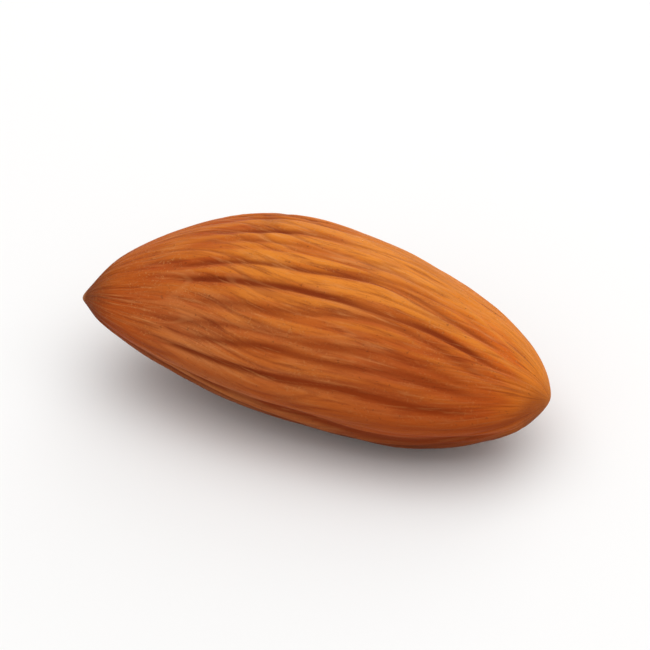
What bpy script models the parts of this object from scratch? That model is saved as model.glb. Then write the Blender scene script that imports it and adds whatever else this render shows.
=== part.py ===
"""Shelled almond kernel in its brown skin, lying on one broad face.

Run with: blender --background --python part.py
Metres, +Z up. X runs along the kernel, from its pointed tip at -X to its blunt end at +X. Y is the breadth: the
fuller edge is at +Y and the straighter edge, which carries the seam, at -Y. The kernel rests on a small flat spot
at Z = 0, and the origin is the centre of its footprint.
"""

import math

import bmesh
import bpy
import numpy as np
from mathutils import Matrix, Vector

# Driving dimensions: the kernel's box before the rest spot is cut
LENGTH = 0.0245
BREADTH = 0.0129
THICKNESS = 0.0082
REST_SPOT_DEPTH = 0.00012

# How the breadth is shared by the two edges, where each edge and the faces stand out most, as a share of the
# length from the tip, and how full each of them is towards the tip and the blunt end: a lower power is fuller
FULL_EDGE_SHARE = 0.655
FULL_EDGE_WIDEST = 0.365
SEAM_EDGE_WIDEST = 0.63
THICKEST = 0.465
EDGE_TIP = 0.655
FACE_TIP = 0.53
FULL_EDGE_BLUNT = 0.625
SEAM_EDGE_BLUNT = 0.52
FACE_BLUNT = 0.56

# The tip end turns up a little from the surface that the kernel lies on
TIP_LIFT = 0.00092
LIFT_REACH = 0.80

# The tip draws out into a small nib
NIB_LENGTH = 0.026
NIB_WAIST = 0.36

# Cross-section: an ellipse whose faces are flatter at mid-length and whose edges are keener towards the tip
FACE_FLATNESS = 0.13
TIP_KEENNESS = 0.20
KEEN_UNTIL = 0.05
FLAT_FROM = 0.45

# Long furrows between the veins of the skin, and shallower ones among them
SEED = 1461
MAIN_FURROWS = 27
MAIN_DEPTH = 0.00019
MAIN_WIDTH = 0.00028
FINE_FURROWS = 18
FINE_DEPTH = 0.00008
FINE_WIDTH = 0.00020

# Ranges that each furrow draws from: its place in its share of the turn, where it starts and ends along the
# kernel, its strength, and the waves and ripples that its path makes
PLACE_RANGE = (0.25, 0.75)
START_RANGE = (0.05, 0.18)
END_RANGE = (0.94, 1.0)
STRENGTH_RANGE = (0.55, 1.0)
WAVES_RANGE = (0.6, 1.3)
RIPPLES_RANGE = (2.0, 3.4)
FURROW_RISE = 0.20
FURROW_FALL = 0.15
WAVE_SIZE = 0.040
RIPPLE_SIZE = 0.018
BLEND_POWER = 4.0

# On the faces the furrows lean to the seam edge behind the tip and to the fuller edge before the blunt end, by
# these radians, about these places and over these reaches along the kernel
LEAN_TO_SEAM = 0.14
SEAM_LEAN_PLACE = 0.18
SEAM_LEAN_REACH = 0.17
LEAN_TO_FULL_EDGE = 0.21
FULL_LEAN_PLACE = 0.68
FULL_LEAN_REACH = 0.20

# Broad swells that keep the faces from being a perfect oval
SWELL_HEIGHT = 0.00010
SWELL_RANGE = (0.5, 1.6)

# The seam is a low cord along the straighter edge, from the tip to the round scar at the blunt end
SEAM_HEIGHT = 0.00011
SEAM_WIDTH = 0.00042
SEAM_RISE = (0.06, 0.16)
SEAM_FALL = (0.90, 0.97)
SEAM_DIP = 0.5
SEAM_DIP_PLACE = 1.9
SEAM_CLEARANCE = (0.7, 2.0)
SCAR_PLACE = 0.985
SCAR_RADIUS = 0.00125
SCAR_DEPTH = 0.00013
SCAR_RIM = 0.00003

# The relief fades out over the rest spot, so that the spot is one clean patch
SPOT_PLACE = 0.555
SPOT_LENGTH = 0.0036
SPOT_BREADTH = 0.0026
SPOT_FADE = (0.75, 1.35)

# Columns of faces around the kernel and rings of them along it
COLUMNS = 148
RINGS = 33

SKIN_COLOUR = (0.455, 0.127, 0.026, 1.0)
SKIN_ROUGHNESS = 0.62

TURN = 2.0 * math.pi
SEAM_ANGLE = math.pi


def smooth_step(low, high, value):
    """0 below low and 1 above high, with an S-shaped rise between them."""
    x = np.clip((value - low) / (high - low), 0.0, 1.0)
    return x * x * (3.0 - 2.0 * x)


def outline(along, widest, tip_power, blunt_power):
    """Half-width of one edge as a share of its greatest: a sine power up from the tip, a rounded fall to the blunt
    end, and a waist just behind the nib."""
    rise = np.sin(0.25 * TURN * np.clip(along / widest, 0.0, 1.0)) ** tip_power
    fall = np.clip(1.0 - ((along - widest) / (1.0 - widest)) ** 2, 0.0, 1.0) ** blunt_power
    nib = 1.0 - NIB_WAIST * np.exp(-((along / NIB_LENGTH) ** 2))
    return np.where(along < widest, rise, fall) * nib


def half_sizes(along):
    """Middle line, half-breadth and half-thickness at a share of the length from the tip."""
    full_edge = BREADTH * FULL_EDGE_SHARE * outline(along, FULL_EDGE_WIDEST, EDGE_TIP, FULL_EDGE_BLUNT)
    seam_edge = BREADTH * (1.0 - FULL_EDGE_SHARE) * outline(along, SEAM_EDGE_WIDEST, EDGE_TIP, SEAM_EDGE_BLUNT)
    half_thickness = 0.5 * THICKNESS * outline(along, THICKEST, FACE_TIP, FACE_BLUNT)
    return 0.5 * (full_edge - seam_edge), 0.5 * (full_edge + seam_edge), half_thickness


def smooth_kernel(along, around):
    """Points of the kernel without its relief. along is 0 at the tip and 1 at the blunt end, and around is the
    angle from the fuller edge, over the upper face."""
    middle, half_breadth, half_thickness = half_sizes(along)
    body = smooth_step(KEEN_UNTIL, FLAT_FROM, along)
    fullness = FACE_FLATNESS * body - TIP_KEENNESS * (1.0 - body)
    lift = TIP_LIFT * (1.0 - smooth_step(0.0, LIFT_REACH, along))
    x = LENGTH * (along - 0.5)
    y = middle + half_breadth * np.cos(around)
    z = lift + half_thickness * np.sin(around) * (1.0 + fullness * np.cos(around) ** 2)
    return np.stack([x, y, z], axis=-1)


def lean(along):
    """Turn of the furrows on the faces, towards the seam edge: a bell behind the tip, less one before the blunt end."""
    to_seam = LEAN_TO_SEAM * np.exp(-(((along - SEAM_LEAN_PLACE) / SEAM_LEAN_REACH) ** 2))
    to_full_edge = LEAN_TO_FULL_EDGE * np.exp(-(((along - FULL_LEAN_PLACE) / FULL_LEAN_REACH) ** 2))
    return to_seam - to_full_edge


def furrow_field(along, around, rng, count, depth, width):
    """Depth of one family of furrows. Each wanders and leans about its own angle, starts and ends at its own place,
    and has a bell-shaped cross-section; where furrows meet, a power sum blends them."""
    _, half_breadth, half_thickness = half_sizes(along)
    per_radian = np.hypot(half_breadth * np.sin(around), half_thickness * np.cos(around))
    leaning = around - lean(along) * np.sin(around)
    total = np.zeros_like(along)
    for k in range(count):
        angle = TURN * (k + rng.uniform(*PLACE_RANGE)) / count
        start, end = rng.uniform(*START_RANGE), rng.uniform(*END_RANGE)
        strength = rng.uniform(*STRENGTH_RANGE)
        waves, wave_shift = rng.uniform(*WAVES_RANGE), rng.uniform(0.0, 1.0)
        ripples, ripple_shift = rng.uniform(*RIPPLES_RANGE), rng.uniform(0.0, 1.0)
        path = angle + WAVE_SIZE * np.sin(TURN * (waves * along + wave_shift))
        path += RIPPLE_SIZE * np.sin(TURN * (ripples * along + ripple_shift))
        away = (leaning - path + 0.5 * TURN) % TURN - 0.5 * TURN
        bell = np.exp(-((away * per_radian / width) ** 2))
        rise = smooth_step(start, start + FURROW_RISE, along)
        fall = 1.0 - smooth_step(end - FURROW_FALL, end, along)
        total += (strength * bell * rise * fall) ** BLEND_POWER
    return depth * total ** (1.0 / BLEND_POWER)


def swells(along, around, rng):
    """Broad low waves along and around the kernel, none at the two ends."""
    total = np.zeros_like(along)
    for turns in (1, 2, 3):
        lengthwise, phase = rng.uniform(*SWELL_RANGE), rng.uniform(0.0, 1.0)
        total += np.sin(turns * around + TURN * (lengthwise * along + phase)) / turns
    return SWELL_HEIGHT * total * np.sin(0.5 * TURN * along)


def from_seam(along, around):
    """Distance from the seam's line around the kernel, in widths of the seam."""
    return (around - SEAM_ANGLE) * half_sizes(along)[2] / SEAM_WIDTH


def seam(along, around):
    """A low rounded cord along the straighter edge, with a faint dip on each side."""
    away = from_seam(along, around)
    reach = smooth_step(*SEAM_RISE, along) * (1.0 - smooth_step(*SEAM_FALL, along))
    dips = SEAM_DIP * np.exp(-((np.abs(away) - SEAM_DIP_PLACE) ** 2))
    return SEAM_HEIGHT * reach * (np.exp(-(away**2)) - dips)


def scar(points):
    """The round scar where the seam ends: a shallow dish with a soft rim."""
    centre = smooth_kernel(np.array([SCAR_PLACE]), np.array([SEAM_ANGLE]))[0]
    distance = np.linalg.norm(points - centre, axis=-1) / SCAR_RADIUS
    rim = np.exp(-(((distance - 1.15) / 0.3) ** 2))
    dish = np.exp(-((distance / 0.75) ** 2))
    return SCAR_RIM * rim - SCAR_DEPTH * dish


def rest_spot_fade(points):
    """0 over the rest spot and 1 away from it, on the lower face only."""
    middle, _, _ = half_sizes(np.array([SPOT_PLACE]))
    x = (points[:, 0] - LENGTH * (SPOT_PLACE - 0.5)) / SPOT_LENGTH
    y = (points[:, 1] - middle[0]) / SPOT_BREADTH
    return np.where(points[:, 2] < 0.0, smooth_step(*SPOT_FADE, np.hypot(x, y)), 1.0)


def relief(along, around, points):
    """Height of the skin over the smooth kernel: swells, seam and scar up and down, less the furrows."""
    rng = np.random.default_rng(SEED)
    furrows = furrow_field(along, around, rng, MAIN_FURROWS, MAIN_DEPTH, MAIN_WIDTH)
    furrows += furrow_field(along, around, rng, FINE_FURROWS, FINE_DEPTH, FINE_WIDTH)
    furrows *= smooth_step(*SEAM_CLEARANCE, np.abs(from_seam(along, around)))
    height = swells(along, around, rng) + seam(along, around) + scar(points) - furrows
    return height * rest_spot_fade(points)


def shaped_kernel():
    """A round mesh with its poles at the tip and the blunt end, moved to the kernel's surface and raised along its
    normals by the relief, then fitted to its box with its lower face just below Z = 0."""
    mesh = bmesh.new()
    poles_along_x = Matrix.Rotation(math.radians(90.0), 4, "Y")
    bmesh.ops.create_uvsphere(mesh, u_segments=COLUMNS, v_segments=RINGS, radius=1.0, matrix=poles_along_x)
    ball = np.array([vertex.co for vertex in mesh.verts])
    along = np.clip(0.5 * (1.0 + ball[:, 0]), 0.0, 1.0)
    around = np.arctan2(ball[:, 2], ball[:, 1]) % TURN
    points = smooth_kernel(along, around)
    for vertex, point in zip(mesh.verts, points):
        vertex.co = point
    bmesh.ops.recalc_face_normals(mesh, faces=mesh.faces)
    mesh.normal_update()
    normals = np.array([vertex.normal for vertex in mesh.verts])
    points += normals * relief(along, around, points)[:, None]
    low, high = points.min(axis=0), points.max(axis=0)
    points = (points - 0.5 * (low + high)) / (high - low) * (LENGTH, BREADTH, THICKNESS)
    points[:, 2] += 0.5 * THICKNESS - REST_SPOT_DEPTH
    for vertex, point in zip(mesh.verts, points):
        vertex.co = point
    return mesh


def cut_rest_spot(mesh):
    """Cuts off what is below Z = 0 and closes the cut with one flat face."""
    everything = mesh.verts[:] + mesh.edges[:] + mesh.faces[:]
    cut = bmesh.ops.bisect_plane(
        mesh, geom=everything, dist=1e-7, plane_co=Vector((0, 0, 0)), plane_no=Vector((0, 0, -1)), clear_outer=True
    )
    rim = [item for item in cut["geom_cut"] if isinstance(item, bmesh.types.BMEdge)]
    bmesh.ops.contextual_create(mesh, geom=rim)
    bmesh.ops.recalc_face_normals(mesh, faces=mesh.faces)


def skin_material():
    """Dry matte orange-brown skin."""
    material = bpy.data.materials.new("almond_skin")
    material.use_nodes = True
    shader = material.node_tree.nodes["Principled BSDF"]
    shader.inputs["Base Color"].default_value = SKIN_COLOUR
    shader.inputs["Roughness"].default_value = SKIN_ROUGHNESS
    shader.inputs["Metallic"].default_value = 0.0
    return material


def build_kernel():
    """The kernel as one object, in its skin."""
    shape = shaped_kernel()
    cut_rest_spot(shape)
    mesh = bpy.data.meshes.new("almond_kernel")
    shape.to_mesh(mesh)
    shape.free()
    mesh.shade_smooth()
    mesh.materials.append(skin_material())
    kernel = bpy.data.objects.new("almond_kernel", mesh)
    bpy.context.scene.collection.objects.link(kernel)


def main():
    for leftover in list(bpy.data.objects):
        bpy.data.objects.remove(leftover)
    build_kernel()


main()
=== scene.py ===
"""Shelled almond kernel in its brown skin, lying on a pale floor.

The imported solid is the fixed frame. One finer piece takes its place: the same teardrop, furrows, seam and
scar from the same formulas, with the skin's creases, veins and lumps added, and a skin material that
follows them. Metres, +Z up. X runs from the pointed tip at -X to the blunt end at +X, and the seam edge
is at -Y.
"""

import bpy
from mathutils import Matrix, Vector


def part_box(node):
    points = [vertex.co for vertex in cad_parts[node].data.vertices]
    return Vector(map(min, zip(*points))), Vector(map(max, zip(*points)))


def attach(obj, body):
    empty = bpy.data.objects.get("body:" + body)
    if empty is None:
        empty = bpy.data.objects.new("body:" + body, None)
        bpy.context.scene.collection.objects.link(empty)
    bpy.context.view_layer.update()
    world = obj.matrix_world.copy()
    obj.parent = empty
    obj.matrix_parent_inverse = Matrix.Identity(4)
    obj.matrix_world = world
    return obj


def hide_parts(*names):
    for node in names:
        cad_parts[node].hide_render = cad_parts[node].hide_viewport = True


bl_info = {
    "name": "Almond Kernel",
    "version": (1, 0, 0),
    "blender": (4, 5, 0),
    "location": "3D View > Sidebar > Almond",
    "description": "Makes a shelled almond kernel in its ridged brown skin, and a plain stage for it",
    "category": "Object",
}

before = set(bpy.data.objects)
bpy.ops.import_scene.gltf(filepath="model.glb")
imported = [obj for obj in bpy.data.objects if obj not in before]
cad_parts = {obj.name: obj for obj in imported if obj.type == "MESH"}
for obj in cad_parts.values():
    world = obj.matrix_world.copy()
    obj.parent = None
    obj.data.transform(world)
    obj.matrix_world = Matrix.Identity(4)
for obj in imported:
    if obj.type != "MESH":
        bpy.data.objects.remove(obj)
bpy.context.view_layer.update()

import math

import bpy
import numpy as np
from bpy.props import FloatProperty, FloatVectorProperty, IntProperty, PointerProperty
from bpy.types import Operator, Panel, PropertyGroup
from mathutils import Vector

KERNEL_NODE = "almond_kernel"
KERNEL_LOW, KERNEL_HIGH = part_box(KERNEL_NODE)
KERNEL_SIZE = KERNEL_HIGH - KERNEL_LOW

TURN = 2.0 * math.pi
MM = 0.001

# The lower face dips this far under the floor before it is flattened to the rest spot
REST_SPOT_DEPTH = 0.12 * MM

# How the breadth is shared by the two edges, where each edge and the faces stand out most, as a share of
# the length from the tip, and how full each is towards the tip and the blunt end: a lower power is fuller
FULL_EDGE_SHARE = 0.655
FULL_EDGE_WIDEST = 0.365
SEAM_EDGE_WIDEST = 0.63
THICKEST = 0.465
EDGE_TIP = 0.655
FACE_TIP = 0.53
FULL_EDGE_BLUNT = 0.625
SEAM_EDGE_BLUNT = 0.52
FACE_BLUNT = 0.56

# The tip end turns up a little, and draws out into a small nib
TIP_LIFT = 0.92 * MM
LIFT_REACH = 0.80
NIB_LENGTH = 0.026
NIB_WAIST = 0.36

# Cross-section: an ellipse with flatter faces at mid-length and keener edges towards the tip
FACE_FLATNESS = 0.13
TIP_KEENNESS = 0.20
KEEN_UNTIL = 0.05
FLAT_FROM = 0.45

# Long furrows between the veins of the skin, and shallower ones among them
SEED = 1461
MAIN_FURROWS = 27
MAIN_WIDTH = 0.28 * MM
FINE_FURROWS = 18
FINE_WIDTH = 0.20 * MM

# Ranges that each furrow draws from: its place in its share of the turn, where it starts and ends along
# the kernel, its strength, and the waves and ripples that its path makes
PLACE_RANGE = (0.25, 0.75)
START_RANGE = (0.05, 0.18)
END_RANGE = (0.94, 1.0)
STRENGTH_RANGE = (0.55, 1.0)
WAVES_RANGE = (0.6, 1.3)
RIPPLES_RANGE = (2.0, 3.4)

# Shares of the length over which a furrow rises and falls, the sizes of its waves and ripples in radians,
# and the power of the blend where furrows meet
FURROW_RISE = 0.20
FURROW_FALL = 0.15
WAVE_SIZE = 0.040
RIPPLE_SIZE = 0.018
BLEND_POWER = 4.0

# On the faces the furrows lean to the seam edge behind the tip and to the fuller edge before the blunt
# end, by these radians, about these places and over these reaches along the kernel
LEAN_TO_SEAM = 0.14
SEAM_LEAN_PLACE = 0.18
SEAM_LEAN_REACH = 0.17
LEAN_TO_FULL_EDGE = 0.21
FULL_LEAN_PLACE = 0.68
FULL_LEAN_REACH = 0.20

# Broad swells that keep the faces from being a perfect oval
SWELL_HEIGHT = 0.10 * MM
SWELL_RANGE = (0.5, 1.6)

# The seam is a low cord along the straighter edge, from the tip to the round scar at the blunt end
SEAM_ANGLE = math.pi
SEAM_HEIGHT = 0.11 * MM
SEAM_WIDTH = 0.42 * MM
SEAM_RISE = (0.06, 0.16)
SEAM_FALL = (0.90, 0.97)
SEAM_DIP = 0.5
SEAM_DIP_PLACE = 1.9
SEAM_CLEARANCE = (0.7, 2.0)
SCAR_PLACE = 0.985
SCAR_RADIUS = 1.25 * MM
SCAR_DEPTH = 0.13 * MM
SCAR_RIM = 0.03 * MM

# The scar's two bells in radii of the scar: the rim's place and width and the dish's width. Its colour
# fades out at the scar's reach.
RIM_PLACE = 1.15
RIM_WIDTH = 0.30
DISH_WIDTH = 0.75
SCAR_REACH = 1.4

# The relief fades out over the rest spot
SPOT_PLACE = 0.555
SPOT_LENGTH = 3.6 * MM
SPOT_BREADTH = 2.6 * MM
SPOT_FADE = (0.75, 1.35)

# A worn shoulder: the furrows are shallower on the upper face's blunt half near the fuller edge, by this
# share, over these ranges of the cosine and sine of the angle around and of the share along
WORN_SHARE = 0.68
WORN_EDGE = (-0.20, 0.50)
WORN_TOP = (0.15, 0.60)
WORN_END = (0.30, 0.65)

# The fibre grain: the radius in millimetres of the circle that it runs round, the radians that it turns to
# and fro along the kernel, and the waves of that turn: the size, number and shift of each
GRAIN_RADIUS = 5.2
GRAIN_WANDER = 0.09
WANDER_WAVES = ((1.0, 1.1, 0.2), (0.4, 2.7, 0.6))

# Fine relief of the skin. A line field draws its lines where a stretched noise crosses zero: each has the
# noise's cells per millimetre across and along the fibres, and the share of the noise's swing that one
# line covers.
CREASE_CELLS = (1.15, 0.17)
CREASE_SHARE = 0.16
WRINKLE_CELLS = (2.7, 0.42)
WRINKLE_SHARE = 0.22
VEIN_CELLS = (0.62, 0.085)
VEIN_SHARE = 0.05
LUMP_CELLS = (0.75, 0.42)
PATCH_CELLS = (0.40, 0.16)
PATCH_SEED, CREASE_SEED, WRINKLE_SEED, VEIN_SEED, LUMP_SEED = range(21, 26)

# Patches of the skin: the levels of their noise, the share of the creases that is kept off them, and the
# share of the wrinkles that is lost on them. The fine relief fades out over the last share at each end.
PATCH_RANGE = (-0.35, 0.45)
CREASE_KEPT = 0.35
WRINKLE_LOST = 0.5
END_CALM = 0.06

# Working values: how many slopes the noise draws from, and its gain; the step over which the surface's own
# slopes are measured, and how many places the profile's length is measured at
LATTICE = 256
NOISE_GAIN = 1.6
SLOPE_STEP = 1e-5
PROFILE_SAMPLES = 4000

# Share of the wrinkles in the crease colour, and how far from the middle, in breadths, the seam flank is at
# its reddest, which is partly painted shade
WRINKLE_TINT = 0.4
FLANK_REACH = 0.4

# Bands of the skin: the field that each mask follows, and where it starts to show and shows in full. The
# fields are the share of the length from the tip, the nearness to the seam's flank, the wear, the depths of
# furrows and creases, the veins, the nearness to the scar, and how far the skin faces down.
BANDS = {
    "towards_blunt": ("along", 0.15, 0.95),
    "blunt_end": ("along", 0.70, 0.97),
    # tip_end and dark_tip darken the tip end: partly real darker skin, partly painted shade
    "tip_end": ("along", 0.52, 0.10),
    "behind_tip": ("along", 0.08, 0.30),
    "dark_tip": ("along", 0.10, 0.0),
    "pale_nib": ("along", 0.012, 0.0),
    "flank": ("flank", 0.35, 1.0),
    "worn": ("worn", 0.30, 1.0),
    "in_furrow": ("furrow", 0.22, 0.90),
    "crest": ("furrow", 0.20, 0.0),
    "in_crease": ("crease", 0.25, 1.0),
    "vein": ("vein", 0.40, 1.0),
    "scar": ("scar", 0.25, 1.0),
    # painted shade: a band of how far the skin faces down, for the darkened lower face
    "lower_face_shade": ("under", 0.05, 0.85),
}

# Flecks of the skin: the coordinates that each mask follows, its noise's cells per millimetre, the levels
# where it starts to show and shows in full, and the noise's detail and roughness
FLECKS = {
    "ochre_patches": ("place", 0.22, 0.40, 0.62, 2.0, 0.50),
    "dust": ("streaks", 0.40, 0.30, 0.60, 2.0, 0.50),
    "broad_mottling": ("streaks", 0.55, 0.48, 0.72, 2.0, 0.50),
    "fine_mottling": ("streaks", 1.6, 0.46, 0.68, 3.0, 0.50),
    "pale_mottling": ("streaks", 2.1, 0.50, 0.70, 3.0, 0.50),
    "dark_fibres": ("fibres", 3.4, 0.54, 0.70, 4.0, 0.60),
    "pale_fibres": ("fibres", 4.1, 0.55, 0.70, 4.0, 0.60),
    "hairlines": ("fibres", 8.0, 0.50, 0.66, 3.0, 0.60),
    "powder_grains": ("place", 7.5, 0.54, 0.66, 3.0, 0.65),
    "powdery_places": ("place", 0.55, 0.38, 0.62, 3.0, 0.50),
    "pores": ("place", 5.2, 0.33, 0.26, 2.0, 0.50),
    "papery": ("streaks", 4.0, 0.28, 0.72, 5.0, 0.65),
    "gritty": ("place", 9.0, 0.25, 0.75, 4.0, 0.60),
}

# Layers of colour over the ridge colour, from the lowest up: each one's mask, colour and amount
SKIN_LAYERS = (
    ("ochre_patches", "ochre", 0.85),
    ("worn", "ochre", 0.55),
    # partly real redder skin along the seam, partly painted shade on the seam side
    ("flank", "edge", 0.55),
    # painted shade, with real redder skin, on the seam side towards the blunt end
    ("low_blunt", "edge", 0.85),
    # brighter amber on the upper blunt end: partly real colour, partly painted light
    ("amber_and_painted_light", "amber", 0.60),
    # redder tip end: partly real skin, partly painted shade
    ("tip_end", "edge", 0.86),
    ("dusty_flank", "scurf", 0.62),
    ("broad_mottling", "edge", 0.45),
    ("fine_mottling", "edge", 0.40),
    ("pale_mottling", "scurf", 0.16),
    ("worn", "ochre", 0.30),
    # paler ochre on the upper crests: partly real paler ridges, partly painted highlight
    ("pale_crest_and_highlight", "ochre", 0.70),
    ("flank_crest", "ridge", 0.30),
    # darker furrows: partly real darker skin, partly painted shade in their hollows
    ("in_furrow", "furrow", 0.95),
    ("in_crease", "furrow", 0.35),
    ("dark_fibres", "furrow", 0.50),
    ("pale_fibres", "scurf", 0.32),
    ("hairlines", "furrow", 0.24),
    ("vein", "scurf", 0.15),
    ("powder", "scurf", 0.35),
    ("worn", "ochre", 0.10),
    # more painted shade, with real redder skin, on the seam side towards the blunt end
    ("low_blunt", "edge", 0.52),
    ("pores", "umber", 0.40),
    ("seam", "furrow", 0.45),
    ("scar", "furrow", 0.45),
    # dark tip: partly real darker nib, partly painted shade
    ("dark_tip", "umber", 0.70),
    ("pale_nib", "scurf", 0.50),
    # painted shade: the lower face darkened where the skin faces down, as a contact shadow
    ("painted_underside_shade", "umber", 0.92),
)

# What raises and what sinks the skin's fine bump: each one's mask and amount
RAISED = (("papery", 0.30), ("gritty", 0.20), ("flakes", 0.25))
SUNK = (("dark_fibres", 0.25), ("hairlines", 0.12))

# How far fibres and streaks are drawn out along the grain, how much of the crest colour, partly painted
# highlight, the tip end loses, and how dark the painted shade on the lower face is between its dark fibres
FIBRE_SCALE = (1.0, 1.0, 0.10)
STREAK_SCALE = (1.0, 1.0, 0.18)
CREST_LOST_AT_TIP = 0.7
LOWER_SHADE = (0.85, 1.0)

# Finish of the skin, from its smoothest to its mattest places, and its bump from this level
SKIN_ROUGHNESS = (0.60, 0.86)
SKIN_SPECULAR = 0.10
SKIN_SHEEN = 0.01
SKIN_SHEEN_ROUGHNESS = 0.45
BUMP_LEVEL = 0.25
BUMP_STRENGTH = 0.80
BUMP_DISTANCE = 0.06 * MM

# Floor: a wide disc with broad flecks of a slightly darker shade
FLOOR_RADIUS = 2.5
FLOOR_SIDES = 64
FLOOR_FLECKS = (0.02, 0.3, 0.7)
FLOOR_DARKER = 0.985
FLOOR_ROUGHNESS = (0.80, 0.86)
FLOOR_SPECULAR = 0.15

# Soft square lights: each one's place from the kernel's middle, and its side
LIGHTS = {
    "key": ((0.03, 0.02, 0.36), 0.60),
    "fill": ((-0.16, -0.32, 0.16), 0.30),
    "rim": ((0.02, 0.34, 0.14), 0.24),
}

# Camera: a long lens, so that near and far ends keep their sizes
LENS = 250.0
SENSOR = 36.0
CLIP_START = 10.0 * MM


class KernelSettings(PropertyGroup):
    """Sizes of the kernel and of the relief of its skin."""

    length: FloatProperty(
        name="Length", description="From the tip to the blunt end",
        default=KERNEL_SIZE.x, min=MM, unit="LENGTH",
    )
    breadth: FloatProperty(
        name="Breadth", description="Across the two edges",
        default=KERNEL_SIZE.y, min=MM, unit="LENGTH",
    )
    thickness: FloatProperty(
        name="Thickness", description="From the rest spot to the top",
        default=KERNEL_SIZE.z, min=MM, unit="LENGTH",
    )
    furrow_depth: FloatProperty(
        name="Furrow depth", description="Depth of the long furrows",
        default=0.19 * MM, min=0.0, unit="LENGTH",
    )
    fine_furrow_depth: FloatProperty(
        name="Fine furrow depth", description="Depth of those among them",
        default=0.08 * MM, min=0.0, unit="LENGTH",
    )
    crease_depth: FloatProperty(
        name="Crease depth", description="Depth of the thin creases",
        default=0.045 * MM, min=0.0, unit="LENGTH",
    )
    wrinkle_depth: FloatProperty(
        name="Wrinkle depth", description="Depth of the finest wrinkles",
        default=0.018 * MM, min=0.0, unit="LENGTH",
    )
    vein_height: FloatProperty(
        name="Vein height", description="Height of the thin veins",
        default=0.014 * MM, min=0.0, unit="LENGTH",
    )
    lump_height: FloatProperty(
        name="Lump height", description="Height of the soft lumps",
        default=0.030 * MM, min=0.0, unit="LENGTH",
    )
    columns: IntProperty(name="Columns", description="Faces around the kernel", default=440, min=32)
    rows: IntProperty(name="Rows", description="Rings of points along the kernel", default=222, min=16)


class SkinSettings(PropertyGroup):
    """Colours of the skin, some of which also paint shade and light."""

    ridge: FloatVectorProperty(
        name="Ridge", description="Skin on the ridges",
        default=(0.620, 0.150, 0.011), size=3, subtype="COLOR",
    )
    # Furrow colour is real darker skin in the furrows, deepened as painted shade in their hollows
    furrow: FloatVectorProperty(
        name="Furrow", description="Skin in the furrows",
        default=(0.205, 0.027, 0.003), size=3, subtype="COLOR",
    )
    # Edge is real redder skin, and also paints shade on the seam side and at the tip end
    edge: FloatVectorProperty(
        name="Edge", description="Redder skin towards the seam and at the tip",
        default=(0.380, 0.050, 0.003), size=3, subtype="COLOR",
    )
    # Ochre also paints the highlight on the crests of the upper face
    ochre: FloatVectorProperty(
        name="Ochre", description="Rubbed, yellower skin",
        default=(0.790, 0.250, 0.022), size=3, subtype="COLOR",
    )
    # Amber is partly painted light: brighter skin on the upper blunt end
    amber: FloatVectorProperty(
        name="Amber", description="Brighter skin at the blunt end",
        default=(0.740, 0.128, 0.004), size=3, subtype="COLOR",
    )
    scurf: FloatVectorProperty(
        name="Scurf", description="Pale powdery flakes, fibres and veins",
        default=(0.720, 0.300, 0.095), size=3, subtype="COLOR",
    )
    # Umber is real dark skin at the pores and tip, and painted shade on the lower face
    umber: FloatVectorProperty(
        name="Umber", description="Darkest skin: pores, tip and lower face",
        default=(0.100, 0.022, 0.005), size=3, subtype="COLOR",
    )


class StageSettings(PropertyGroup):
    """Camera, lights and floor."""

    azimuth: FloatProperty(
        name="Azimuth", description="Camera's turn about the kernel",
        default=math.radians(16.8), subtype="ANGLE",
    )
    elevation: FloatProperty(
        name="Elevation", description="Camera's height angle",
        default=math.radians(38.0), subtype="ANGLE",
    )
    view_width: FloatProperty(
        name="View width", description="Width of the view in kernel lengths",
        default=1.34, min=1.0,
    )
    key_power: FloatProperty(
        name="Key", description="Soft overhead light",
        default=1.14, min=0.0, unit="POWER",
    )
    fill_power: FloatProperty(
        name="Fill", description="Soft front light",
        default=0.06, min=0.0, unit="POWER",
    )
    rim_power: FloatProperty(
        name="Rim", description="Soft light from behind",
        default=0.22, min=0.0, unit="POWER",
    )
    surroundings: FloatProperty(
        name="Surroundings", description="Light from all round",
        default=0.565, min=0.0,
    )
    floor: FloatVectorProperty(
        name="Floor", description="Pale floor",
        default=(0.93, 0.926, 0.920), size=3, subtype="COLOR",
    )


def smooth_step(low, high, value):
    """0 below low and 1 above high, with an S-shaped rise between them."""
    x = np.clip((value - low) / (high - low), 0.0, 1.0)
    return x * x * (3.0 - 2.0 * x)


def outline(along, widest, tip_power, blunt_power):
    """Half-width of one edge as a share of its greatest: a sine power up from the tip, a rounded fall to
    the blunt end, and a waist just behind the nib."""
    rise = np.sin(0.25 * TURN * np.clip(along / widest, 0.0, 1.0)) ** tip_power
    fall = np.clip(1.0 - ((along - widest) / (1.0 - widest)) ** 2, 0.0, 1.0) ** blunt_power
    nib = 1.0 - NIB_WAIST * np.exp(-((along / NIB_LENGTH) ** 2))
    return np.where(along < widest, rise, fall) * nib


def lean(along):
    """Turn of the furrows on the faces, towards the seam edge: a bell behind the tip, less one before the
    blunt end."""
    to_seam = LEAN_TO_SEAM * np.exp(-(((along - SEAM_LEAN_PLACE) / SEAM_LEAN_REACH) ** 2))
    to_full_edge = LEAN_TO_FULL_EDGE * np.exp(-(((along - FULL_LEAN_PLACE) / FULL_LEAN_REACH) ** 2))
    return to_seam - to_full_edge


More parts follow.
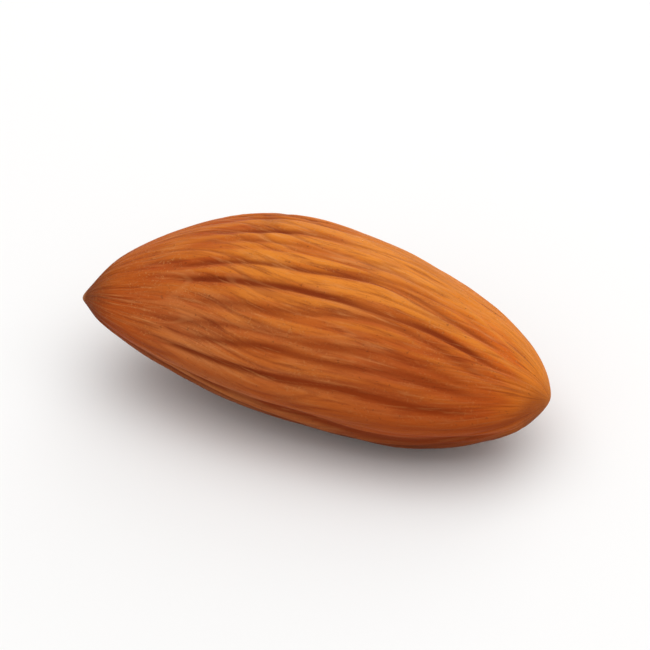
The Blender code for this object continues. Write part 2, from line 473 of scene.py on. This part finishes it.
class Kernel:
    """The kernel's surface as a function of two parameters: along, the share of the length from 0 at the
    tip to 1 at the blunt end, and around, the angle from the fuller edge over the upper face."""

    def __init__(self, sizes):
        self.box = np.array([sizes.length, sizes.breadth, sizes.thickness + REST_SPOT_DEPTH])

    def half_sizes(self, along):
        """Middle line, half-breadth and half-thickness: each edge and the faces follow their own outline."""
        _, breadth, thickness = self.box
        full_share, seam_share = FULL_EDGE_SHARE * breadth, (1.0 - FULL_EDGE_SHARE) * breadth
        full = full_share * outline(along, FULL_EDGE_WIDEST, EDGE_TIP, FULL_EDGE_BLUNT)
        seam = seam_share * outline(along, SEAM_EDGE_WIDEST, EDGE_TIP, SEAM_EDGE_BLUNT)
        half_thickness = 0.5 * thickness * outline(along, THICKEST, FACE_TIP, FACE_BLUNT)
        return 0.5 * (full - seam), 0.5 * (full + seam), half_thickness

    def smooth(self, along, around):
        """Points without relief: an ellipse about the middle line, fuller or keener by its squared
        cosine, and lifted towards the tip."""
        middle, half_breadth, half_thickness = self.half_sizes(along)
        body = smooth_step(KEEN_UNTIL, FLAT_FROM, along)
        fullness = FACE_FLATNESS * body - TIP_KEENNESS * (1.0 - body)
        lift = TIP_LIFT * (1.0 - smooth_step(0.0, LIFT_REACH, along))
        x = self.box[0] * (along - 0.5)
        y = middle + half_breadth * np.cos(around)
        z = lift + half_thickness * np.sin(around) * (1.0 + fullness * np.cos(around) ** 2)
        return np.stack([x, y, z], axis=-1)

    def normals(self, along, around):
        """Outward directions: the cross product of the slopes around and along, and straight out at the
        two ends."""
        inside = np.clip(along, SLOPE_STEP, 1.0 - SLOPE_STEP)
        slope_around = self.smooth(inside, around + SLOPE_STEP) - self.smooth(inside, around - SLOPE_STEP)
        slope_along = self.smooth(inside + SLOPE_STEP, around) - self.smooth(inside - SLOPE_STEP, around)
        out = np.cross(slope_around, slope_along)
        out[along <= 0.0] = (-1.0, 0.0, 0.0)
        out[along >= 1.0] = (1.0, 0.0, 0.0)
        return out / np.linalg.norm(out, axis=-1, keepdims=True)

    def per_radian(self, along, around):
        """Length of skin that one radian around the kernel spans."""
        _, half_breadth, half_thickness = self.half_sizes(along)
        return np.hypot(half_breadth * np.sin(around), half_thickness * np.cos(around))

    def furrow_field(self, along, around, rng, count, width):
        """Depth of one family of furrows, from 0 to about 1. Each wanders and leans about its own angle,
        starts and ends at its own place, and has a bell-shaped cross-section. A power sum blends furrows
        that meet."""
        per_radian = self.per_radian(along, around)
        leaning = around - lean(along) * np.sin(around)
        total = np.zeros_like(along)
        for k in range(count):
            angle = TURN * (k + rng.uniform(*PLACE_RANGE)) / count
            start, end = rng.uniform(*START_RANGE), rng.uniform(*END_RANGE)
            strength = rng.uniform(*STRENGTH_RANGE)
            waves, wave_shift = rng.uniform(*WAVES_RANGE), rng.uniform(0.0, 1.0)
            ripples, ripple_shift = rng.uniform(*RIPPLES_RANGE), rng.uniform(0.0, 1.0)
            path = angle + WAVE_SIZE * np.sin(TURN * (waves * along + wave_shift))
            path += RIPPLE_SIZE * np.sin(TURN * (ripples * along + ripple_shift))
            away = (leaning - path + 0.5 * TURN) % TURN - 0.5 * TURN
            bell = np.exp(-((away * per_radian / width) ** 2))
            rise = smooth_step(start, start + FURROW_RISE, along)
            fall = 1.0 - smooth_step(end - FURROW_FALL, end, along)
            total += (strength * bell * rise * fall) ** BLEND_POWER
        return total ** (1.0 / BLEND_POWER)

    def swells(self, along, around, rng):
        """Three broad low waves along and around the kernel, none at the two ends."""
        total = np.zeros_like(along)
        for turns in (1, 2, 3):
            lengthwise, phase = rng.uniform(*SWELL_RANGE), rng.uniform(0.0, 1.0)
            total += np.sin(turns * around + TURN * (lengthwise * along + phase)) / turns
        return SWELL_HEIGHT * total * np.sin(0.5 * TURN * along)

    def from_seam(self, along, around):
        """Distance from the seam's line around the kernel, in widths of the seam."""
        return (around - SEAM_ANGLE) * self.half_sizes(along)[2] / SEAM_WIDTH

    def seam(self, along, around):
        """A low rounded cord along the straighter edge, with a faint dip on each side."""
        away = self.from_seam(along, around)
        reach = smooth_step(*SEAM_RISE, along) * (1.0 - smooth_step(*SEAM_FALL, along))
        dips = SEAM_DIP * np.exp(-((np.abs(away) - SEAM_DIP_PLACE) ** 2))
        return SEAM_HEIGHT * reach * (np.exp(-(away**2)) - dips)

    def from_scar(self, points):
        """Distance from the middle of the round scar, in radii of the scar."""
        centre = self.smooth(np.array([SCAR_PLACE]), np.array([SEAM_ANGLE]))[0]
        return np.linalg.norm(points - centre, axis=-1) / SCAR_RADIUS

    def scar(self, points):
        """A shallow dish with a soft rim: two bells of the distance from its middle."""
        distance = self.from_scar(points)
        rim = np.exp(-(((distance - RIM_PLACE) / RIM_WIDTH) ** 2))
        dish = np.exp(-((distance / DISH_WIDTH) ** 2))
        return SCAR_RIM * rim - SCAR_DEPTH * dish

    def spot_fade(self, points):
        """0 over the rest spot and 1 away from it, on the lower face only."""
        middle, _, _ = self.half_sizes(np.array([SPOT_PLACE]))
        x = (points[:, 0] - self.box[0] * (SPOT_PLACE - 0.5)) / SPOT_LENGTH
        y = (points[:, 1] - middle[0]) / SPOT_BREADTH
        return np.where(points[:, 2] < 0.0, smooth_step(*SPOT_FADE, np.hypot(x, y)), 1.0)


def lattice_noise(places, seed):
    """Smooth noise, mostly within -1 and 1: each corner of a unit lattice has a random slope, and the
    heights that the eight slopes give at a place are blended by an S-curve across its cell."""
    rng = np.random.default_rng(seed)
    shuffle = rng.permutation(LATTICE)
    slopes = rng.normal(size=(LATTICE, 3))
    slopes /= np.linalg.norm(slopes, axis=1, keepdims=True)
    cell = np.floor(places).astype(int)
    inside = places - cell
    blend = inside**3 * (inside * (6.0 * inside - 15.0) + 10.0)
    total = np.zeros(len(places))
    for corner in np.ndindex(2, 2, 2):
        x, y, z = ((cell + corner) % LATTICE).T
        slope = slopes[shuffle[(x + shuffle[(y + shuffle[z]) % LATTICE]) % LATTICE]]
        weight = np.prod(np.where(corner, blend, 1.0 - blend), axis=1)
        total += weight * np.einsum("ij,ij->i", slope, inside - corner)
    return NOISE_GAIN * total


def fibre_grain(along, around, length):
    """Seamless coordinates in millimetres that run with the fibres: a circle of about the kernel's mean
    girth across them, turned a little to and fro along the kernel, and the length along them."""
    wander = sum(size * np.sin(TURN * (waves * along + shift)) for size, waves, shift in WANDER_WAVES)
    angle = around + GRAIN_WANDER * wander
    across = GRAIN_RADIUS * np.stack([np.cos(angle), np.sin(angle)], axis=-1)
    return np.column_stack([across, along * length / MM])


def stretched_noise(grain, cells, seed):
    """Noise with its cells per millimetre given across and along the fibres."""
    return lattice_noise(grain * (cells[0], cells[0], cells[1]), seed)


def line_field(grain, cells, share, seed):
    """Thin lines, 1 on the line and 0 away from it: a bell of a stretched noise about its zero."""
    return np.exp(-((stretched_noise(grain, cells, seed) / share) ** 2))


def surface_grid(kernel, columns, rows):
    """The parameters along and around, for rings at equal steps of the profile's length, each with its
    columns, and then for the two end points."""
    samples = 0.5 * (1.0 - np.cos(np.linspace(0.0, math.pi, PROFILE_SAMPLES)))
    _, half_breadth, half_thickness = kernel.half_sizes(samples)
    radius = 0.5 * (half_breadth + half_thickness)
    steps = np.hypot(np.diff(samples) * kernel.box[0], np.diff(radius))
    travelled = np.concatenate([[0.0], np.cumsum(steps)])
    rings = np.interp(np.arange(1, rows + 1) / (rows + 1) * travelled[-1], travelled, samples)
    along, around = np.meshgrid(rings, TURN * np.arange(columns) / columns, indexing="ij")
    return np.append(along.ravel(), (0.0, 1.0)), np.append(around.ravel(), (0.0, 0.0))


def grid_faces(columns, rows):
    """Quads between neighbouring rings, and a fan of triangles at each end, all facing outwards."""
    ring = np.arange(columns)
    after = (ring + 1) % columns
    start = columns * np.arange(rows - 1)[:, None]
    quads = np.stack([start + ring, start + after, start + columns + after, start + columns + ring], axis=-1)
    last = columns * (rows - 1)
    tip, blunt = columns * rows, columns * rows + 1
    tip_fan = np.stack([np.full(columns, tip), after, ring], axis=-1)
    blunt_fan = np.stack([last + ring, last + after, np.full(columns, blunt)], axis=-1)
    return quads.reshape(-1, 4).tolist() + tip_fan.tolist() + blunt_fan.tolist()


def long_furrows(kernel, sizes, along, around, clear, worn, rng):
    """Depth of both families of long furrows, none on the seam and less on the worn shoulder."""
    main_furrows = kernel.furrow_field(along, around, rng, MAIN_FURROWS, MAIN_WIDTH)
    fine_furrows = kernel.furrow_field(along, around, rng, FINE_FURROWS, FINE_WIDTH)
    kept = clear * (1.0 - WORN_SHARE * worn)
    return kept * (sizes.furrow_depth * main_furrows + sizes.fine_furrow_depth * fine_furrows)


def fine_relief(grain, clear, calm):
    """The creases, wrinkles, veins and lumps, each up to about 1: line fields and a noise along the
    fibres that fade out at the two ends, with creases strongest in patches, wrinkles weakest there, and
    no veins on the seam."""
    patch = smooth_step(*PATCH_RANGE, stretched_noise(grain, PATCH_CELLS, PATCH_SEED))
    in_patches = CREASE_KEPT + (1.0 - CREASE_KEPT) * patch
    creases = calm * in_patches * line_field(grain, CREASE_CELLS, CREASE_SHARE, CREASE_SEED)
    off_patches = 1.0 - WRINKLE_LOST * patch
    wrinkles = calm * off_patches * line_field(grain, WRINKLE_CELLS, WRINKLE_SHARE, WRINKLE_SEED)
    veins = calm * clear * line_field(grain, VEIN_CELLS, VEIN_SHARE, VEIN_SEED)
    lumps = calm * stretched_noise(grain, LUMP_CELLS, LUMP_SEED)
    return creases, wrinkles, veins, lumps


def fitted(skin, box):
    """The skin stretched to its box about its own middle, stood on the floor in the solid's place, with
    what dips below the floor flattened to the rest spot."""
    low, high = skin.min(axis=0), skin.max(axis=0)
    skin = (skin - 0.5 * (low + high)) / (high - low) * box
    skin[:, 2] = np.maximum(skin[:, 2] + 0.5 * box[2] - REST_SPOT_DEPTH, 0.0)
    middle = 0.5 * (KERNEL_LOW + KERNEL_HIGH)
    return skin + (middle.x, middle.y, KERNEL_LOW.z)


def kernel_surface(sizes):
    """Points of the finished kernel, its fibre grain, and the fields that its skin's material reads. The
    smooth kernel is raised along its normals by the swells, seam, scar, veins and lumps, less the
    furrows, creases and wrinkles, and then fitted to its box."""
    kernel = Kernel(sizes)
    along, around = surface_grid(kernel, sizes.columns, sizes.rows)
    points = kernel.smooth(along, around)
    rng = np.random.default_rng(SEED)
    clear = smooth_step(*SEAM_CLEARANCE, np.abs(kernel.from_seam(along, around)))
    worn = smooth_step(*WORN_EDGE, np.cos(around)) * smooth_step(*WORN_TOP, np.sin(around))
    worn *= smooth_step(*WORN_END, along)
    furrows = long_furrows(kernel, sizes, along, around, clear, worn, rng)
    swells = kernel.swells(along, around, rng)

    grain = fibre_grain(along, around, sizes.length)
    calm = smooth_step(0.0, END_CALM, along) * smooth_step(0.0, END_CALM, 1.0 - along)
    creases, wrinkles, veins, lumps = fine_relief(grain, clear, calm)

    height = swells + kernel.seam(along, around) + kernel.scar(points) - furrows
    height += sizes.vein_height * veins + sizes.lump_height * lumps
    height -= sizes.crease_depth * creases + sizes.wrinkle_depth * wrinkles
    height *= kernel.spot_fade(points)
    outward = kernel.normals(along, around)
    skin = fitted(points + outward * height[:, None], kernel.box)

    fields = {
        "furrow": furrows / sizes.furrow_depth,
        "crease": creases + WRINKLE_TINT * wrinkles,
        "vein": veins,
        "worn": worn,
        # nearness to the seam side, whose redder colour is partly painted shade
        "flank": np.clip(0.5 - 0.5 * points[:, 1] / (FLANK_REACH * sizes.breadth), 0.0, 1.0),
        "seam": np.exp(-(kernel.from_seam(along, around) ** 2)) * calm,
        "scar": np.clip(SCAR_REACH - kernel.from_scar(points), 0.0, 1.0),
        "along": along,
        # how far the skin faces down, which the material turns into painted shade on the lower face
        "under": -outward[:, 2],
    }
    return skin, grain, fields


def kernel_mesh(sizes):
    """The kernel's mesh, with its fields and its fibre grain as attributes of its points."""
    skin, grain, fields = kernel_surface(sizes)
    mesh = bpy.data.meshes.new("kernel_skin")
    mesh.from_pydata(skin, [], grid_faces(sizes.columns, sizes.rows))
    for name, values in fields.items():
        mesh.attributes.new(name, "FLOAT", "POINT").data.foreach_set("value", values.astype(np.float32))
    layer = mesh.attributes.new("grain", "FLOAT_VECTOR", "POINT")
    layer.data.foreach_set("vector", grain.astype(np.float32).ravel())
    mesh.shade_smooth()
    mesh.update()
    return mesh


def new_piece(name, mesh, material):
    """An object at the origin, linked to the scene, in one material."""
    mesh.materials.append(material)
    piece = bpy.data.objects.new(name, mesh)
    bpy.context.scene.collection.objects.link(piece)
    return piece


def add_node(tree, kind, values=None, **settings):
    """A node with its settings, each named input holding its value or linked to its socket."""
    node = tree.nodes.new(kind)
    for name, setting in settings.items():
        setattr(node, name, setting)
    for name, value in (values or {}).items():
        if isinstance(value, bpy.types.NodeSocket):
            tree.links.new(value, node.inputs[name])
        else:
            node.inputs[name].default_value = value
    return node


def maths(tree, operation, first, second):
    """One step of arithmetic on two values, held between 0 and 1."""
    values = {0: first, 1: second}
    return add_node(tree, "ShaderNodeMath", values, operation=operation, use_clamp=True).outputs[0]


def band(tree, value, low, high):
    """0 where the value is at low, 1 where it is at high, with an S-shaped rise between."""
    values = {"Value": value, "From Min": low, "From Max": high}
    return add_node(tree, "ShaderNodeMapRange", values, interpolation_type="SMOOTHSTEP").outputs["Result"]


def spread(tree, value, low, high):
    """A value from 0 to 1 spread between low and high."""
    values = {"Value": value, "To Min": low, "To Max": high}
    return add_node(tree, "ShaderNodeMapRange", values).outputs["Result"]


def overlap(tree, *masks):
    """Where all of these masks show: their product."""
    shown = masks[0]
    for mask in masks[1:]:
        shown = maths(tree, "MULTIPLY", shown, mask)
    return shown


def outside(tree, mask):
    """Where the mask doesn't show: one less the mask."""
    return maths(tree, "SUBTRACT", 1.0, mask)


def blend(tree, mask, first, second, amount=1.0):
    """The first colour, turned into the second by the mask times the amount."""
    values = {0: maths(tree, "MULTIPLY", mask, amount), 6: first, 7: second}
    return add_node(tree, "ShaderNodeMix", values, data_type="RGBA").outputs[2]


def field(tree, name):
    """One of the piece's own fields."""
    return add_node(tree, "ShaderNodeAttribute", attribute_name=name).outputs["Fac"]


def scaled(tree, vector, scale):
    """Coordinates times a scale for each axis."""
    values = {"Vector": vector, "Scale": scale}
    return add_node(tree, "ShaderNodeMapping", values, vector_type="POINT").outputs[0]


def millimetres(tree):
    """The piece's Object coordinates in millimetres."""
    place = add_node(tree, "ShaderNodeTexCoord").outputs["Object"]
    return scaled(tree, place, (1.0 / MM, 1.0 / MM, 1.0 / MM))


def fleck_group():
    """Node group: flecks of a noise that stand out where it lies between two levels."""
    group = bpy.data.node_groups.new("flecks", "ShaderNodeTree")
    interface = group.interface
    interface.new_socket("Place", in_out="INPUT", socket_type="NodeSocketVector")
    for name, value in (("Cells", 1.0), ("Detail", 2.0), ("Roughness", 0.5), ("Low", 0.4), ("High", 0.6)):
        interface.new_socket(name, in_out="INPUT", socket_type="NodeSocketFloat").default_value = value
    interface.new_socket("Mask", in_out="OUTPUT", socket_type="NodeSocketFloat")
    inputs = add_node(group, "NodeGroupInput").outputs
    values = {"Vector": inputs["Place"], "Scale": inputs["Cells"]}
    values.update({"Detail": inputs["Detail"], "Roughness": inputs["Roughness"]})
    noise = add_node(group, "ShaderNodeTexNoise", values).outputs[0]
    mask = band(group, noise, inputs["Low"], inputs["High"])
    add_node(group, "NodeGroupOutput", {"Mask": mask})
    return group


def flecks(tree, place, cells, low, high, detail=2.0, roughness=0.5):
    """A mask of flecks from the shared node group."""
    node = add_node(tree, "ShaderNodeGroup", node_tree=bpy.data.node_groups.get("flecks") or fleck_group())
    tree.links.new(place, node.inputs["Place"])
    values = {"Cells": cells, "Low": low, "High": high, "Detail": detail, "Roughness": roughness}
    for name, value in values.items():
        node.inputs[name].default_value = value
    return node.outputs["Mask"]


def with_alpha(colour):
    """A colour property as a shader colour."""
    return (*colour, 1.0)


def new_material(name):
    """A material with its node tree and its Principled shader."""
    material = bpy.data.materials.new(name)
    material.use_nodes = True
    return material, material.node_tree, material.node_tree.nodes["Principled BSDF"]


def skin_masks(tree):
    """The skin's masks by name: bands of the piece's fields, flecks on its Object coordinates in
    millimetres or along its fibre grain, and products of these."""
    grain = add_node(tree, "ShaderNodeAttribute", attribute_name="grain").outputs["Vector"]
    places = {
        "place": millimetres(tree),
        "fibres": scaled(tree, grain, FIBRE_SCALE),
        "streaks": scaled(tree, grain, STREAK_SCALE),
    }
    masks = {name: band(tree, field(tree, source), *levels) for name, (source, *levels) in BANDS.items()}
    masks.update({name: flecks(tree, places[where], *levels) for name, (where, *levels) in FLECKS.items()})

    masks["seam"] = field(tree, "seam")
    off_flank = outside(tree, masks["flank"])
    off_tip = maths(tree, "MULTIPLY", masks["tip_end"], CREST_LOST_AT_TIP)
    crown = maths(tree, "SUBTRACT", off_flank, off_tip)
    near_tip = outside(tree, masks["towards_blunt"])
    between_fibres = spread(tree, masks["dark_fibres"], *LOWER_SHADE)
    masks["low_blunt"] = overlap(tree, masks["flank"], masks["towards_blunt"])
    # upper blunt end, where amber is partly painted light
    masks["amber_and_painted_light"] = overlap(tree, masks["blunt_end"], off_flank)
    masks["dusty_flank"] = overlap(tree, masks["dust"], masks["flank"], near_tip, masks["behind_tip"])
    # crests of the upper face, paler partly as painted highlight
    masks["pale_crest_and_highlight"] = overlap(tree, masks["crest"], crown)
    masks["flank_crest"] = overlap(tree, masks["crest"], masks["flank"])
    powder = overlap(tree, masks["powder_grains"], masks["powdery_places"])
    masks["powder"] = overlap(tree, powder, outside(tree, masks["in_furrow"]))
    # painted shade on the lower face, a little weaker between the dark fibres
    masks["painted_underside_shade"] = overlap(tree, masks["lower_face_shade"], between_fibres)
    masks["matt"] = maths(tree, "MAXIMUM", masks["powder"], masks["in_furrow"])
    masks["flakes"] = maths(tree, "MAXIMUM", masks["pale_fibres"], masks["powder"])
    return masks


def skin_bump(tree, masks):
    """Height of the skin's fine bump: its level, plus each raised mask by its amount, less each sunk one."""
    height = BUMP_LEVEL
    for operation, parts in (("ADD", RAISED), ("SUBTRACT", SUNK)):
        for name, amount in parts:
            height = maths(tree, operation, height, maths(tree, "MULTIPLY", masks[name], amount))
    return height


def skin_material(colours):
    """Dry seed skin, mattest in its furrows and where it is powdery. Its layers are ochre patches, a worn
    ochre shoulder, a redder seam flank and tip end that are partly painted shade, an amber blunt end that is
    partly painted light, and mottling, then the crests with a partly painted highlight on the upper ones,
    the furrows darkened partly as painted shade, and creases, then fibres, hairlines, veins and powder, and
    last the pores, the darker seam and scar, a tip darkened partly as painted shade, and painted shade on
    the lower face."""
    material, tree, shader = new_material("almond_skin")
    masks = skin_masks(tree)
    colour = with_alpha(colours.ridge)
    for mask, name, amount in SKIN_LAYERS:
        colour = blend(tree, masks[mask], colour, with_alpha(getattr(colours, name)), amount)
    tree.links.new(colour, shader.inputs["Base Color"])

    tree.links.new(spread(tree, masks["matt"], *SKIN_ROUGHNESS), shader.inputs["Roughness"])
    shader.inputs["Specular IOR Level"].default_value = SKIN_SPECULAR
    shader.inputs["Sheen Weight"].default_value = SKIN_SHEEN
    shader.inputs["Sheen Roughness"].default_value = SKIN_SHEEN_ROUGHNESS

    values = {"Strength": BUMP_STRENGTH, "Distance": BUMP_DISTANCE, "Height": skin_bump(tree, masks)}
    bump = add_node(tree, "ShaderNodeBump", values)
    tree.links.new(bump.outputs["Normal"], shader.inputs["Normal"])
    return material


def floor_material(colour):
    """Matt pale board, a touch uneven in tone and gloss."""
    material, tree, shader = new_material("pale_floor")
    place = millimetres(tree)
    uneven = flecks(tree, place, *FLOOR_FLECKS)
    shade = with_alpha(FLOOR_DARKER * part for part in colour)
    tree.links.new(blend(tree, uneven, with_alpha(colour), shade), shader.inputs["Base Color"])
    tree.links.new(spread(tree, uneven, *FLOOR_ROUGHNESS), shader.inputs["Roughness"])
    shader.inputs["Specular IOR Level"].default_value = FLOOR_SPECULAR
    return material


def towards(spot, target):
    """The turn that points an object's -Z from a spot to a target, with its +Y up."""
    return (target - spot).to_track_quat("-Z", "Y")


def add_light(name, spot, target, size, power):
    """A soft square light, aimed at the target."""
    light = bpy.data.lights.new(name, "AREA")
    light.size = size
    light.energy = power
    lamp = bpy.data.objects.new(name, light)
    lamp.location = spot
    lamp.rotation_mode = "QUATERNION"
    lamp.rotation_quaternion = towards(spot, target)
    bpy.context.scene.collection.objects.link(lamp)


def add_camera(stage, target):
    """A camera on a long lens, as far back as its view width needs."""
    azimuth, elevation = stage.azimuth, stage.elevation
    back = Vector(
        (
            math.sin(azimuth) * math.cos(elevation),
            -math.cos(azimuth) * math.cos(elevation),
            math.sin(elevation),
        )
    )
    lens = bpy.data.cameras.new("view")
    lens.lens = LENS
    lens.sensor_width = SENSOR
    lens.clip_start = CLIP_START
    camera = bpy.data.objects.new("view", lens)
    camera.location = target + back * (stage.view_width * KERNEL_SIZE.x * LENS / SENSOR)
    camera.rotation_mode = "QUATERNION"
    camera.rotation_quaternion = towards(camera.location, target)
    bpy.context.scene.collection.objects.link(camera)
    bpy.context.scene.camera = camera


def add_floor(colour):
    """A wide round floor at Z = 0: a fan of triangles about its middle."""
    corners = np.arange(FLOOR_SIDES)
    angles = TURN * corners / FLOOR_SIDES
    rim = FLOOR_RADIUS * np.stack([np.cos(angles), np.sin(angles), np.zeros(FLOOR_SIDES)], axis=-1)
    points = np.vstack([rim, (0.0, 0.0, 0.0)])
    middle = np.full(FLOOR_SIDES, FLOOR_SIDES)
    faces = np.column_stack([middle, corners, (corners + 1) % FLOOR_SIDES]).tolist()
    mesh = bpy.data.meshes.new("floor")
    mesh.from_pydata(points, [], faces)
    floor = new_piece("floor", mesh, floor_material(colour))


def set_surroundings(strength):
    """Even white light from all round."""
    world = bpy.data.worlds.new("studio")
    world.use_nodes = True
    background = world.node_tree.nodes["Background"]
    background.inputs["Color"].default_value = (1.0, 1.0, 1.0, 1.0)
    background.inputs["Strength"].default_value = strength
    bpy.context.scene.world = world


class ALMOND_OT_make_kernel(Operator):
    """Make the kernel in its skin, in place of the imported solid"""

    bl_idname = "almond.make_kernel"
    bl_label = "Make Kernel"

    def execute(self, context):
        mesh = kernel_mesh(context.scene.almond_sizes)
        kernel = new_piece("kernel_skin", mesh, skin_material(context.scene.almond_skin))
        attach(kernel, "root")
        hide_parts(KERNEL_NODE)
        return {"FINISHED"}


class ALMOND_OT_make_stage(Operator):
    """Make the floor, the lights and the camera"""

    bl_idname = "almond.make_stage"
    bl_label = "Make Stage"

    def execute(self, context):
        stage = context.scene.almond_stage
        target = 0.5 * (KERNEL_LOW + KERNEL_HIGH)
        add_floor(stage.floor)
        for name, (spot, side) in LIGHTS.items():
            add_light(name, target + Vector(spot), target, side, getattr(stage, name + "_power"))
        set_surroundings(stage.surroundings)
        add_camera(stage, target)
        context.scene.view_settings.view_transform = "Standard"
        return {"FINISHED"}


class ALMOND_PT_panel(Panel):
    """Sizes, colours and stage of the kernel"""

    bl_idname = "ALMOND_PT_panel"
    bl_label = "Almond Kernel"
    bl_space_type = "VIEW_3D"
    bl_region_type = "UI"
    bl_category = "Almond"

    def draw(self, context):
        parts = (
            (context.scene.almond_sizes, ALMOND_OT_make_kernel),
            (context.scene.almond_skin, None),
            (context.scene.almond_stage, ALMOND_OT_make_stage),
        )
        for group, operator in parts:
            box = self.layout.box()
            for name in group.__annotations__:
                box.prop(group, name)
            if operator:
                box.operator(operator.bl_idname)


CLASSES = (
    KernelSettings,
    SkinSettings,
    StageSettings,
    ALMOND_OT_make_kernel,
    ALMOND_OT_make_stage,
    ALMOND_PT_panel,
)


def register():
    for item in CLASSES:
        bpy.utils.register_class(item)
    bpy.types.Scene.almond_sizes = PointerProperty(type=KernelSettings)
    bpy.types.Scene.almond_skin = PointerProperty(type=SkinSettings)
    bpy.types.Scene.almond_stage = PointerProperty(type=StageSettings)


def unregister():
    del bpy.types.Scene.almond_stage
    del bpy.types.Scene.almond_skin
    del bpy.types.Scene.almond_sizes
    for item in reversed(CLASSES):
        bpy.utils.unregister_class(item)


def main():
    register()
    bpy.ops.almond.make_kernel()
    bpy.ops.almond.make_stage()


if __name__ == "__main__":
    main()
